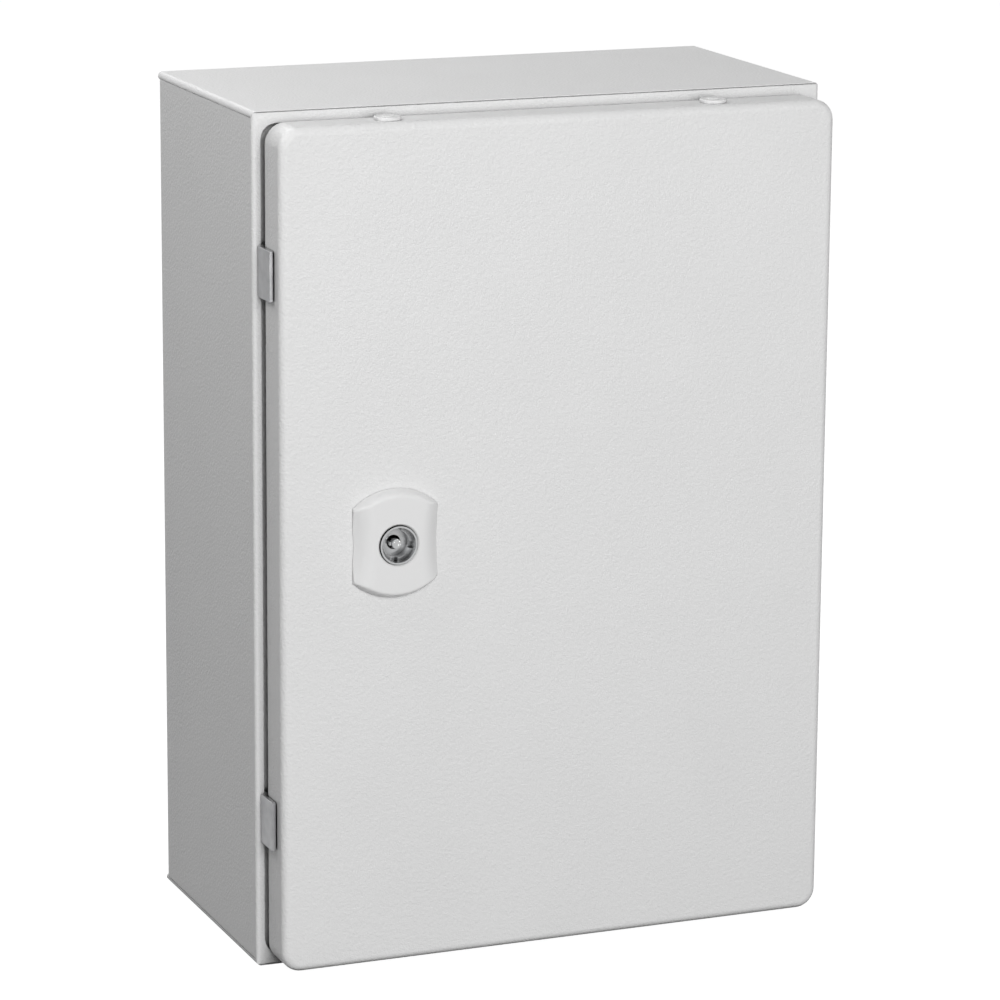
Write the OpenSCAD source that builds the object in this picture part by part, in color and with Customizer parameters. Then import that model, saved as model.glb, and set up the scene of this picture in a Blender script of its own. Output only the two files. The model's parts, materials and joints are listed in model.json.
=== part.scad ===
/* [Body] */
// Width over the side walls
body_w = 350; // [300:10:600]
// Height over the end panels
body_h = 500; // [440:10:900]
// Depth from the wall to the front of the door
total_d = 200; // [160:5:400]
// Thickness of the body and door sheet
sheet_t = 1.5; // [1:0.1:2]
// Outer radius of the two upright bends at the back
back_bend_r = 6; // [4:0.5:12]
// Outer radius of the upright bends at the front rim
rim_bend_r = 2.5; // [2.2:0.1:3.2]
// Width of the front flange on each side wall
side_flange_w = 5; // [4:0.1:6]

/* [End panels] */
// Height of the turned-down edge that meets the side walls
cap_edge_h = 4; // [3:0.5:6]
// Height of the front flange of an end panel
cap_flange_h = 7; // [6.5:0.5:9]
// Outer radius of the panel corners at the back
cap_corner_r = 2; // [1:0.5:4]
// Outer radius of the bend along the sides of a panel
cap_side_r = 3; // [1:0.1:3]
// Thickness of sheet that shows above the seam at the front
cap_lap_t = 0.4; // [0.2:0.1:0.6]
// Depth of the seam at the front
cap_lap_d = 0.9; // [0.4:0.1:1.2]
// Radius of the inner corners of the front flange
flange_fillet_r = 8; // [4:1:12]
// Width of the weld seam groove
seam_w = 0.6; // [0.2:0.1:1]
// Depth of the weld seam groove
seam_d = 0.4; // [0.1:0.1:0.7]

/* [Rain channel] */
// Depth of the channel floor behind the rim
channel_depth = 8; // [7:0.5:16]
// Distance of the sealing lip from the outside of the body
lip_inset = 30; // [29:1:45]
// Reach of the sealing lip in front of the rim
lip_reach = 18; // [16:0.5:20]
// Outer radius of the lip corners
lip_corner_r = 12; // [6:1:20]

/* [Door] */
// Gap between the rim and the back of the door fold
door_gap = 4.5; // [3.5:0.5:6]
// Depth of the door fold
door_fold_d = 25; // [23:0.5:28]
// Set-back of the door from the body on the lock side
reveal_lock = 6; // [6:0.5:8]
// Set-back of the door from the body on the hinge side
reveal_hinge = 3.5; // [2.5:0.5:5]
// Set-back of the door from the body at the top
reveal_top = 6; // [5:0.5:8]
// Set-back of the door from the body at the bottom
reveal_bottom = 3.5; // [2.5:0.5:8]
// Outer radius of the door corners
door_corner_r = 12; // [10:1:16]
// Outer radius of the bend between door front and fold
door_bend_r = 5; // [3:0.5:5]
// Width of the hem turned in at the back of the fold
door_hem_w = 7; // [5:0.5:8]
// Width of the foam gasket
gasket_w = 10; // [8:1:14]
// Gap between the gasket and the sealing lip
gasket_clear = 0.3; // [0.2:0.1:0.6]

/* [Door plugs] */
// Distance between the two plugs in the top fold
plug_spread = 200; // [100:2:240]
// Diameter of a plug head
plug_head_d = 15.5; // [14:0.5:18]
// Height of a plug head
plug_head_h = 2; // [1:0.1:2.5]
// Diameter of the plug hole
plug_hole_d = 12; // [8:0.5:13]

/* [Hinges] */
// Distance between the upper and lower hinge
hinge_spread = 320; // [250:10:360]
// Height of a hinge eye and of a door guide
hinge_h = 29; // [20:1:40]
// Thickness of hinge and guide plates
hinge_t = 2.5; // [1.8:0.1:2.8]
// Hinge pin diameter
pin_d = 5; // [4:0.5:6]
// Radial clearance between the pin and the hinge eye
pin_clear = 0.05; // [0.02:0.01:0.1]
// Distance of the pin axis from the outside of the fold
pin_inset = 7; // [6.5:0.1:8]
// Distance of the pin axis behind the door front
pin_setback = 9; // [8.8:0.1:10]
// Wall of the hinge eye around the pin
eye_wall = 1.9; // [1.4:0.1:2]
// Gap between a hinge eye and the door leaf
hinge_gap = 0.4; // [0.2:0.1:1]

/* [Door guides] */
// Distance of a guide plate from the outside of the side wall
guide_inset = 2.8; // [2:0.1:3]
// Reach of a guide plate in front of the rim
guide_reach = 20; // [10:0.5:22]
// Gap between a guide plate and the rim
guide_gap = 0.4; // [0.2:0.1:1]

/* [Lock] */
// Distance of the lock axis from the lock side of the door
lock_inset = 68; // [60:0.5:80]
// Height of the lock axis above or below the middle
lock_rise = 4; // [-60:1:60]
// Width of the lock cover
cover_w = 51; // [46:1:60]
// Height of the lock cover
cover_h = 64; // [56:1:80]
// Radius of the two rounded ends of the cover
cover_end_r = 38; // [34:1:60]
// How far the cover stands out of the door
cover_t = 7; // [5:0.5:8]
// Chamfer of the rounded ends of the cover
cover_end_bevel = 2.6; // [1:0.1:4]
// Chamfer of the cover sides at the waist
cover_waist_bevel = 7.8; // [4:0.1:9]
// Radius that hollows the cover sides
cover_waist_r = 94; // [70:2:200]
// Diameter of the chromed lock head
head_d = 22.4; // [21.5:0.1:24]
// Diameter of the threaded lock body
lock_body_d = 20; // [16:0.5:20]
// Clearance of the lock body in the door
lock_body_clear = 0.1; // [0.05:0.05:0.5]
// Length of the threaded lock body behind the door front
lock_body_l = 22; // [16:1:24]
// Diameter of the spindle
spindle_d = 8.2; // [8:0.1:10.5]
// Radial clearance of the spindle
spindle_clear = 0.05; // [0.02:0.01:0.1]
// Diameter of the double-bit pin
key_pin_d = 5.6; // [4:0.1:6.5]
// Thickness of the two bits on the pin
key_bit_t = 2.2; // [1:0.1:3]
// Gap between the tip of the locked cam and the keeper
cam_tip_gap = 2; // [1:0.5:6]
// Thickness of the cam
cam_t = 3; // [2:0.5:4]
// Width of the cam
cam_w = 16; // [14:1:20]
// Gap between the cam and the keeper
cam_clear = 0.5; // [0.3:0.1:1]
// Reach of the keeper from the sealing lip
keeper_reach = 9; // [6:0.5:11]
// Length of the keeper
keeper_l = 46; // [36:2:60]

/* [Mounting plate] */
// Width of the mounting plate
plate_w = 240; // [200:5:250]
// Height of the mounting plate
plate_h = 430; // [300:5:430]
// Thickness of the mounting plate
plate_t = 2; // [1.5:0.5:3]
// Stud spacing across
stud_dx = 210; // [160:5:220]
// Stud spacing up
stud_dz = 400; // [260:5:410]
// Stud diameter
stud_d = 8; // [6:1:10]
// Stud length
stud_l = 30; // [26:1:40]
// Length of the spacers behind the plate
spacer_l = 12; // [8:1:14]
// Clearance of the stud holes
stud_clear = 0.4; // [0.2:0.1:1]

/* [Wall holes] */
// Diameter of the holes for the wall screws
wall_hole_d = 9; // [6:0.5:11]
// Wall hole spacing across
wall_dx = 260; // [180:5:270]
// Wall hole spacing up
wall_dz = 340; // [200:5:350]

/* [Gland plate] */
// Width of the cable opening in the bottom
gland_w = 200; // [100:5:210]
// Depth of the cable opening in the bottom
gland_d = 80; // [60:5:90]
// Distance of the opening's middle behind the middle of the depth
gland_back = 15; // [10:1:20]
// Width of the gland gasket
gland_gasket_w = 10; // [8:1:12]
// Thickness of the gland gasket
gland_gasket_t = 2; // [1:0.5:3]
// Margin of the gland plate outside its gasket
gland_margin = 11; // [10:1:12]
// Diameter of the gland plate studs
gland_stud_d = 5; // [4:1:6]
// Length of the gland plate studs
gland_stud_l = 14; // [13:1:20]

/* [Earthing] */
// Diameter of the earth studs
earth_d = 6; // [5:1:8]
// Length of the earth studs
earth_l = 16; // [14:1:20]
// Height of the earth studs above the base
earth_z = 70; // [60:5:100]
// Distance of the body earth stud in front of the back
earth_y = 60; // [45:5:80]
// Distance of the door earth stud from the hinge side of the door
earth_inset = 70; // [60:5:120]

/* [Hidden] */
$fn = 96;
paint = [0.84, 0.85, 0.84];
zinc = [0.72, 0.73, 0.74];
chrome = [0.88, 0.88, 0.9];
foam = [0.16, 0.16, 0.17];
rubber = [0.1, 0.1, 0.1];

// Planes across the depth, from the wall to the front
head_proud = 0.3;
overall_d = total_d + cover_t + head_proud;
back_y = overall_d / 2;
back_in_y = back_y - sheet_t;
door_front_y = back_y - total_d;
door_in_y = door_front_y + sheet_t;
door_back_y = door_front_y + door_fold_d;
rim_y = door_back_y + door_gap;
leg_front_y = rim_y + rim_bend_r;
floor_y = rim_y + channel_depth;
lip_front_y = rim_y - lip_reach;
body_d = back_y - rim_y;
flange_end_x = body_w / 2 - side_flange_w;
blunt = 0.3;

// Edges of the door
door_left = -body_w / 2 + reveal_lock;
door_right = body_w / 2 - reveal_hinge;
door_bottom = reveal_bottom;
door_top = body_h - reveal_top;
door_w = door_right - door_left;
door_h = door_top - door_bottom;
door_mid_x = (door_left + door_right) / 2;
door_mid_z = (door_bottom + door_top) / 2;

// Hinge axis and lock axis
hinge_x = door_right - pin_inset;
hinge_y = door_front_y + pin_setback;
hinge_z = [body_h / 2 + hinge_spread / 2, body_h / 2 - hinge_spread / 2];
lock_x = door_left + lock_inset;
lock_z = body_h / 2 + lock_rise;

// Hinge bracket: an arm that leads inwards, then back to the channel floor
eye_r = pin_d / 2 + pin_clear + eye_wall;
arm_in = 8;
arm_back = 14;
arm_angle = atan2(arm_back, -arm_in);
arm_foot_y = floor_y - hinge_y;
foot_w = 14;
guide_arm_t = 2;
hinge_screw_d = 4;
hinge_screw_clear = 0.2;
hinge_screw_head_d = 7.5;
hinge_screw_head_h = 2.6;
hinge_screw_pitch = 15;
hinge_screw_x = hinge_x - arm_in + foot_w / 2 + hinge_t / 2;
leaf_t = 2.5;
leaf_web_t = 1.5;
leaf_web_l = 16;
notch_side = 1;
notch_front = 2.8;
pin_end = 1;
pin_head_d = 8;
pin_head_h = 1.6;

// Lock, along its axis: zero at the door front, positive towards the user
head_front = cover_t + head_proud;
head_wall = 1;
ledge_depth = 4.3;
cup_wall = 3.2;
cup_depth = 9.5;
notch_w = 4;
notch_depth = 2.8;
notch_turn = -8;
key_recess = 6;
key_pin_back = 4;
bit_back = 1.6;
lock_bore_r = spindle_d / 2 + spindle_clear;
seal_t = 1;
seal_w = 5.6;
cover_bore_clear = 0.3;
cover_rim_chamfer = 1;
cover_foot_h = 0.35;
cover_foot_in = 0.5;
lock_nut_flats = 27;
lock_nut_t = 6;
cam_front = rim_y + cam_clear - door_front_y;
cam_back = cam_front + cam_t;
collar_d = 14;
collar_gap = 0.3;
square_a = 8;
square_clear = 0.1;
cam_washer_d = 16;
cam_washer_t = 1.5;
cam_screw_d = 5;
cam_screw_l = 12;
cam_screw_flats = 10;
cam_screw_h = 4;
keeper_leg = 9;
cam_l = lock_x + body_w / 2 - lip_inset - 2 * sheet_t - cam_tip_gap;

// Nuts and washers by thread size
function nut_flats(d) = d == 5 ? 8 : d == 6 ? 10 : 1.625 * d;
function nut_height(d) = 0.8 * d;
function washer_d(d) = 2 * d;
washer_t = 1.2;
weld_pad_t = 1;

// A plate spacer sits on the weld pad of its stud
plate_back_y = back_in_y - weld_pad_t - spacer_l;
plate_front_y = plate_back_y - plate_t;
plate_corner_r = 6;
gland_corner_r = 4;
gland_frame_r = 6;

// Gland plate seen from inside, lying on its gasket
gland_plate_z = sheet_t + gland_gasket_t;
gland_frame_w = gland_w + 2 * gland_gasket_w + 2;
gland_frame_d = gland_d + 2 * gland_gasket_w + 2;
gland_stud_dx = gland_frame_w + gland_margin;
gland_stud_dy = gland_frame_d + gland_margin;
gland_stud_clear = 0.3;

// Rectangle with round corners, centred
module round_rect(w, h, r) {
  square([w - 2 * r, h], center = true);
  square([w, h - 2 * r], center = true);
  for (x = [-1, 1])
    for (y = [-1, 1])
      translate([x * (w / 2 - r), y * (h / 2 - r)]) circle(r);
}

// Stands a drawing of the front view upright: its height grows towards the user
module facing_front(y) {
  translate([0, y, 0]) rotate([90, 0, 0]) children();
}

// Places children on the lock axis, with zero at the door front
module on_lock() {
  translate([lock_x, door_front_y, lock_z]) rotate([90, 0, 0]) children();
}

// Hexagonal nut with a round bore
module hex_nut(d, flats, h) {
  difference() {
    cylinder(r = flats / 2 / cos(30), h = h, $fn = 6);
    translate([0, 0, -1]) cylinder(d = d, h = h + 2);
  }
}

// Flat washer
module flat_washer(d, outer, h) {
  difference() {
    cylinder(d = outer, h = h);
    translate([0, 0, -1]) cylinder(d = d, h = h + 2);
  }
}

// Quarter of a bent sheet, for the corner in the given quadrant
module bend(outer, inner, turn) {
  rotate(turn) intersection() {
    difference() {
      circle(outer);
      circle(inner);
    }
    square(outer);
  }
}

// Plan of one side of the wrapped body, from the middle of the back to the rim
module wrap_half() {
  side = body_w / 2;
  translate([0, back_in_y]) square([side - back_bend_r, sheet_t]);
  translate([side - back_bend_r, back_y - back_bend_r]) bend(back_bend_r, back_bend_r - sheet_t, 0);
  translate([side - sheet_t, rim_y + rim_bend_r]) square([sheet_t, body_d - back_bend_r - rim_bend_r]);
  translate([side - rim_bend_r, rim_y + rim_bend_r]) bend(rim_bend_r, rim_bend_r - sheet_t, 270);
  translate([side - side_flange_w, rim_y]) square([side_flange_w - rim_bend_r, sheet_t]);
}

// Back and side walls, wrapped from one sheet
module body_shell() {
  color(paint) difference() {
    translate([0, 0, cap_edge_h]) linear_extrude(body_h - 2 * cap_edge_h) {
      wrap_half();
      mirror([1, 0]) wrap_half();
    }
    for (x = [-1, 1])
      for (z = [-1, 1])
        translate([x * wall_dx / 2, back_y + 1, body_h / 2 + z * wall_dz / 2])
          rotate([90, 0, 0]) cylinder(d = wall_hole_d, h = sheet_t + 2);
  }
}

// Plan of an end panel: rim bend radius at the front, its own radius at the back
module cap_plan(inset) {
  w = body_w - 2 * inset;
  r = cap_corner_r;
  f = rim_bend_r - inset;
  front = rim_y + inset;
  translate([-w / 2, front + f]) square([w, body_d - 2 * inset - r - f]);
  translate([-w / 2 + r, front + f]) square([w - 2 * r, body_d - 2 * inset - f]);
  translate([-w / 2 + f, front]) square([w - 2 * f, body_d / 2]);
  for (x = [-1, 1]) {
    translate([x * (w / 2 - r), back_y - inset - r]) circle(r);
    translate([x * (w / 2 - f), front + f]) circle(f);
  }
}

// End panel with its edge turned down, drawn as the top one
module end_panel() {
  difference() {
    translate([0, 0, -cap_edge_h]) linear_extrude(cap_edge_h) cap_plan(0);
    translate([0, 0, -cap_edge_h - 1]) linear_extrude(cap_edge_h + 1 - sheet_t) cap_plan(sheet_t);
    translate([0, 0, -cap_edge_h]) linear_extrude(seam_w) difference() {
      translate([-body_w, rim_y + rim_bend_r]) square([2 * body_w, 2 * body_d]);
      cap_plan(seam_d);
    }
    translate([-body_w, rim_y - 1, -cap_lap_t - seam_w]) cube([2 * body_w, cap_lap_d + 1, seam_w]);
    side_edge_cut();
    mirror([1, 0, 0]) side_edge_cut();
  }
  translate([0, rim_y + sheet_t, 0]) rotate([90, 0, 0]) linear_extrude(sheet_t) {
    translate([-flange_end_x, -cap_flange_h]) square([2 * flange_end_x, cap_flange_h - cap_edge_h]);
    flange_fillet();
    mirror([1, 0]) flange_fillet();
  }
}

// Inner corner where the flange of an end panel meets that of a side wall
module flange_fillet() {
  r = flange_fillet_r;
  translate([flange_end_x - r, -cap_flange_h - r]) difference() {
    square(r);
    translate([-blunt, -blunt]) circle(r);
  }
}

// What the bend along the side of an end panel leaves off
module side_edge_cut() {
  translate([body_w / 2, 0, 0]) rotate([90, 0, 0]) linear_extrude(3 * body_d, center = true) difference() {
    translate([-cap_side_r, -cap_side_r]) square(cap_side_r + 1);
    translate([-cap_side_r, -cap_side_r]) circle(cap_side_r);
  }
}

module top_panel() {
  color(paint) translate([0, 0, body_h]) end_panel();
}

// Bottom panel with the cable opening
module bottom_panel() {
  color(paint) difference() {
    mirror([0, 0, 1]) end_panel();
    translate([0, gland_back, -1]) linear_extrude(sheet_t + 2) round_rect(gland_w, gland_d, gland_corner_r);
  }
}

// Pressed frame round the opening: channel floor, outer leg and sealing lip
module rain_channel() {
  w = body_w - 2 * sheet_t;
  h = body_h - 2 * sheet_t;
  lip_w = body_w - 2 * lip_inset;
  lip_h = body_h - 2 * lip_inset;
  color(paint) difference() {
    translate([0, 0, body_h / 2]) {
      facing_front(floor_y + sheet_t) linear_extrude(sheet_t) difference() {
        square([w, h], center = true);
        round_rect(lip_w - 1, lip_h - 1, lip_corner_r - 0.5);
      }
      facing_front(floor_y) linear_extrude(floor_y - leg_front_y) difference() {
        square([w, h], center = true);
        square([w - 2 * sheet_t, h - 2 * sheet_t], center = true);
      }
      facing_front(floor_y + sheet_t) linear_extrude(floor_y + sheet_t - lip_front_y) difference() {
        round_rect(lip_w, lip_h, lip_corner_r);
        round_rect(lip_w - 2 * sheet_t, lip_h - 2 * sheet_t, lip_corner_r - sheet_t);
      }
    }
    for (z = hinge_z)
      for (s = [-1, 1])
        translate([hinge_screw_x, floor_y - 1, z + s * hinge_screw_pitch / 2])
          rotate([-90, 0, 0]) cylinder(d = hinge_screw_d, h = sheet_t + 2);
  }
}

// Keeper that the cam turns behind
module latch_keeper() {
  x = -body_w / 2 + lip_inset + sheet_t;
  color(zinc) translate([x, rim_y - sheet_t, lock_z - keeper_l / 2]) {
    cube([sheet_t, keeper_leg, keeper_l]);
    cube([keeper_reach, sheet_t, keeper_l]);
  }
}

// Plan of the hinge bracket about the pin axis
module bracket_plan() {
  half = hinge_t / 2;
  difference() {
    union() {
      circle(eye_r);
      rotate(arm_angle) translate([0, -half]) square([norm([arm_in, arm_back]), hinge_t]);
      translate([-arm_in, arm_back]) circle(half);
      translate([-arm_in - half, arm_back]) square([hinge_t, arm_foot_y - arm_back]);
      translate([-arm_in - half, arm_foot_y - hinge_t]) square([foot_w, hinge_t]);
    }
    circle(pin_d / 2 + pin_clear);
  }
}

// Hinge bracket on the channel floor, at the given height
module hinge_bracket(z) {
  color(zinc) difference() {
    translate([hinge_x, hinge_y, z - hinge_h / 2]) linear_extrude(hinge_h) bracket_plan();
    for (s = [-1, 1])
      translate([hinge_screw_x, floor_y - hinge_t - 1, z + s * hinge_screw_pitch / 2])
        rotate([-90, 0, 0]) cylinder(d = hinge_screw_d + 2 * hinge_screw_clear, h = hinge_t + 2);
  }
}

module hinge_screws() {
  shank = hinge_t + sheet_t + 3;
  color(zinc)
    for (z = hinge_z)
      for (s = [-1, 1])
        translate([hinge_screw_x, floor_y - hinge_t, z + s * hinge_screw_pitch / 2]) {
          rotate([-90, 0, 0]) cylinder(d = hinge_screw_d, h = shank);
          rotate([90, 0, 0]) cylinder(d = hinge_screw_head_d, h = hinge_screw_head_h);
        }
}

// Guide plate outside the door fold, joggled round the rim from a foot on the channel floor
module door_guide(z) {
  u = -body_w / 2 + guide_inset;
  arm = -body_w / 2 + side_flange_w + 0.1;
  end = arm + guide_arm_t;
  color(zinc) translate([0, 0, z - hinge_h / 2]) linear_extrude(hinge_h) {
    translate([u, rim_y - guide_reach]) square([hinge_t, guide_reach - guide_gap]);
    translate([u, rim_y - guide_gap - hinge_t]) square([end - u, hinge_t]);
    translate([arm, rim_y - guide_gap - hinge_t]) square([guide_arm_t, floor_y - rim_y + guide_gap + hinge_t]);
    translate([arm, floor_y - sheet_t]) square([foot_w - 2, sheet_t]);
  }
}

// Section of the door edge, about the centre of a door corner
module door_edge() {
  r = door_corner_r;
  b = door_bend_r;
  square([r - b, sheet_t]);
  translate([r - b, b]) bend(b, b - sheet_t, 270);
  translate([r - sheet_t, b]) square([sheet_t, door_fold_d - b]);
  translate([r - door_hem_w, door_fold_d - sheet_t]) square([door_hem_w - sheet_t, sheet_t]);
}

// Door pressed from one sheet: flat front, round bends, folds and hem
module door_shell() {
  r = door_corner_r;
  in_w = door_w - 2 * r;
  in_h = door_h - 2 * r;
  stem_y = (door_bend_r + door_fold_d) / 2;
  notch_h = hinge_h + 2 * notch_side;
  notch_y = hinge_y - notch_front;
  color(paint) difference() {
    translate([door_mid_x, door_front_y, door_mid_z]) {
      translate([-in_w / 2, 0, -in_h / 2]) cube([in_w, sheet_t, in_h]);
      for (k = [0:3]) {
        long = k % 2 == 0 ? in_h : in_w;
        away = k % 2 == 0 ? in_w / 2 : in_h / 2;
        rotate([0, k * 90, 0]) {
          translate([away, 0, -long / 2]) linear_extrude(long) door_edge();
          translate([away, 0, -long / 2]) rotate([-90, 0, 0]) rotate_extrude(angle = 90) door_edge();
        }
      }
    }
    on_lock() translate([0, 0, -sheet_t - 1]) cylinder(d = lock_body_d + 2 * lock_body_clear, h = sheet_t + 2);
    for (z = hinge_z)
      translate([door_right - door_hem_w - 1, notch_y, z - notch_h / 2])
        cube([door_hem_w + 2, door_back_y - notch_y + 1, notch_h]);
    for (x = [-1, 1])
      translate([x * plug_spread / 2, door_front_y + stem_y, door_top - sheet_t - 1])
        cylinder(d = plug_hole_d, h = sheet_t + 2);
  }
}

// Foam strip that meets the sealing lip
module door_gasket() {
  w = body_w - 2 * lip_inset - sheet_t;
  h = body_h - 2 * lip_inset - sheet_t;
  r = lip_corner_r;
  thick = lip_front_y - door_in_y - gasket_clear;
  color(foam) translate([0, 0, body_h / 2]) facing_front(door_in_y + thick) linear_extrude(thick) difference() {
    round_rect(w + gasket_w, h + gasket_w, r + gasket_w / 2);
    round_rect(w - gasket_w, h - gasket_w, r - gasket_w / 2);
  }
}

// Domed plug that closes a hole in the top fold
module door_plug(x) {
  stem_y = (door_bend_r + door_fold_d) / 2;
  head_r = plug_head_d / 2;
  stem_r = plug_hole_d / 2;
  color(paint) translate([x, door_front_y + stem_y, door_top]) rotate_extrude() {
    square([head_r - 0.6, plug_head_h]);
    square([head_r, plug_head_h - 0.6]);
    translate([head_r - 0.6, plug_head_h - 0.6]) circle(0.6);
    square([head_r * 0.45, plug_head_h + 0.5]);
    translate([0, -5]) square([stem_r, 5]);
  }
}

// Door leaf: a web on the door front with an ear above and below the eye
module hinge_leaf(z) {
  ear_r = pin_d / 2 + 2.6;
  reach = pin_setback - sheet_t;
  inner = hinge_h / 2 + hinge_gap;
  outer = inner + leaf_t;
  fold_in = pin_inset - sheet_t;
  bend_x = pin_inset - door_bend_r;
  bend_y = pin_setback - door_bend_r;
  color(zinc) translate([hinge_x, hinge_y, z]) difference() {
    union() {
      translate([bend_x - leaf_web_l, -reach, -outer]) cube([leaf_web_l, leaf_web_t, 2 * outer]);
      for (s = [-outer, inner]) translate([0, 0, s]) linear_extrude(leaf_t) {
        circle(ear_r);
        translate([-ear_r, -reach]) square([ear_r + bend_x, reach]);
        translate([0, -bend_y]) square([fold_in, bend_y]);
      }
    }
    translate([0, 0, -outer - 1]) cylinder(d = pin_d, h = 2 * outer + 2);
  }
}

module hinge_pin(z) {
  outer = hinge_h / 2 + hinge_gap + leaf_t;
  color(zinc) translate([hinge_x, hinge_y, z]) {
    translate([0, 0, -outer - pin_end]) cylinder(d = pin_d, h = 2 * outer + pin_end);
    translate([0, 0, outer]) cylinder(d = pin_head_d, h = pin_head_h);
  }
}

// Weld stud with its pad, growing along +Z from the sheet
module weld_stud(d, l) {
  cylinder(d = d, h = l);
  cylinder(d = washer_d(d), h = weld_pad_t);
}

// Places children at the four mounting studs, growing towards the front from y
module at_plate_studs(y) {
  for (x = [-1, 1])
    for (z = [-1, 1])
      translate([x * stud_dx / 2, y, body_h / 2 + z * stud_dz / 2]) rotate([90, 0, 0]) children();
}

module plate_studs() {
  color(zinc) at_plate_studs(back_in_y) weld_stud(stud_d, stud_l);
}

module plate_spacers() {
  color(zinc) at_plate_studs(back_in_y - weld_pad_t) flat_washer(stud_d + stud_clear, washer_d(stud_d), spacer_l);
}

module mounting_plate() {
  color(zinc) difference() {
    translate([0, 0, body_h / 2]) facing_front(plate_back_y) linear_extrude(plate_t)
      round_rect(plate_w, plate_h, plate_corner_r);
    at_plate_studs(plate_back_y + 1) cylinder(d = stud_d + stud_clear, h = plate_t + 2);
  }
}

module plate_washers() {
  color(zinc) at_plate_studs(plate_front_y) flat_washer(stud_d + stud_clear, washer_d(stud_d), washer_t);
}

module plate_nuts() {
  color(zinc) at_plate_studs(plate_front_y - washer_t) hex_nut(stud_d, nut_flats(stud_d), nut_height(stud_d));
}

// Places children at the six gland plate studs
module at_gland_studs(z) {
  for (x = [-1, 0, 1])
    for (y = [-1, 1])
      translate([x * gland_stud_dx / 2, gland_back + y * gland_stud_dy / 2, z]) children();
}

module gland_gasket() {
  color(rubber) translate([0, gland_back, sheet_t]) linear_extrude(gland_gasket_t) difference() {
    round_rect(gland_frame_w, gland_frame_d, gland_frame_r);
    round_rect(gland_w + 2, gland_d + 2, gland_corner_r);
  }
}

module gland_plate() {
  color(paint) difference() {
    translate([0, gland_back, gland_plate_z]) linear_extrude(sheet_t)
      round_rect(gland_frame_w + 2 * gland_margin, gland_frame_d + 2 * gland_margin, gland_frame_r);
    at_gland_studs(gland_plate_z - 1) cylinder(d = gland_stud_d + 2 * gland_stud_clear, h = sheet_t + 2);
  }
}

module gland_studs() {
  color(zinc) at_gland_studs(sheet_t) weld_stud(gland_stud_d, gland_stud_l);
}

module gland_washers() {
  color(zinc) at_gland_studs(gland_plate_z + sheet_t)
    flat_washer(gland_stud_d + 2 * gland_stud_clear, washer_d(gland_stud_d), washer_t);
}

module gland_nuts() {
  color(zinc) at_gland_studs(gland_plate_z + sheet_t + washer_t)
    hex_nut(gland_stud_d, nut_flats(gland_stud_d), nut_height(gland_stud_d));
}

// Places children on the body earth stud, growing inwards from the side wall
module on_body_earth(out) {
  translate([body_w / 2 - sheet_t - out, back_y - earth_y, earth_z]) rotate([0, -90, 0]) children();
}

// Places children on the door earth stud, growing inwards from the door front
module on_door_earth(out) {
  translate([door_right - earth_inset, door_in_y + out, earth_z]) rotate([-90, 0, 0]) children();
}

module earth_washer() {
  flat_washer(earth_d, washer_d(earth_d), washer_t);
}

module earth_nut() {
  hex_nut(earth_d, nut_flats(earth_d), nut_height(earth_d));
}

module body_earth_stud() {
  color(zinc) on_body_earth(0) weld_stud(earth_d, earth_l);
}

module body_earth_washer() {
  color(zinc) on_body_earth(weld_pad_t) earth_washer();
}

module body_earth_nut() {
  color(zinc) on_body_earth(weld_pad_t + washer_t) earth_nut();
}

module door_earth_stud() {
  color(zinc) on_door_earth(0) weld_stud(earth_d, earth_l);
}

module door_earth_washer() {
  color(zinc) on_door_earth(weld_pad_t) earth_washer();
}

module door_earth_nut() {
  color(zinc) on_door_earth(weld_pad_t + washer_t) earth_nut();
}

// Cutter that hollows one side of the lock cover, deepest at the waist
module waist_cut() {
  rise = cover_waist_bevel / cover_t;
  x = cover_w / 2 - cover_waist_bevel + cover_waist_r;
  translate([x, 0, 0]) cylinder(r1 = cover_waist_r - cover_waist_bevel, r2 = cover_waist_r + rise, h = cover_t + 1);
}

// Cone whose rim is a rounded end of the lock cover
module cover_end() {
  cylinder(r1 = cover_end_r, r2 = cover_end_r - cover_end_bevel, h = cover_t);
}

// Plan of the shadow gap round the foot of the lock cover
module cover_foot_edge() {
  end_y = cover_h / 2 - cover_end_r;
  end_r = cover_end_r - cover_foot_in;
  difference() {
    square(2 * cover_h, center = true);
    intersection() {
      square([cover_w - 2 * cover_foot_in, cover_h], center = true);
      translate([0, end_y]) circle(end_r);
      translate([0, -end_y]) circle(end_r);
    }
  }
}

// Cast cover: straight sides, round ends, all chamfered towards the front
module lock_cover() {
  end_y = cover_h / 2 - cover_end_r;
  bore_r = head_d / 2 + cover_bore_clear;
  color(paint) on_lock() difference() {
    intersection() {
      translate([-cover_w / 2, -cover_h / 2, 0]) cube([cover_w, cover_h, cover_t]);
      translate([0, end_y, 0]) cover_end();
      translate([0, -end_y, 0]) cover_end();
    }
    waist_cut();
    mirror([1, 0, 0]) waist_cut();
    translate([0, 0, -1]) linear_extrude(cover_foot_h + 1) cover_foot_edge();
    translate([0, 0, -1]) cylinder(r = bore_r, h = cover_t + 2);
    translate([0, 0, cover_t - cover_rim_chamfer])
      cylinder(r1 = bore_r, r2 = bore_r + 2 * cover_rim_chamfer, h = 2 * cover_rim_chamfer);
    translate([0, 0, -1]) cylinder(r = bore_r + seal_w, h = seal_t + 1);
  }
}

// Flat seal between the cover and the door
module lock_seal() {
  bore_r = head_d / 2 + cover_bore_clear;
  color(rubber) on_lock() flat_washer(2 * bore_r, 2 * (bore_r + seal_w), seal_t);
}

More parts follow.
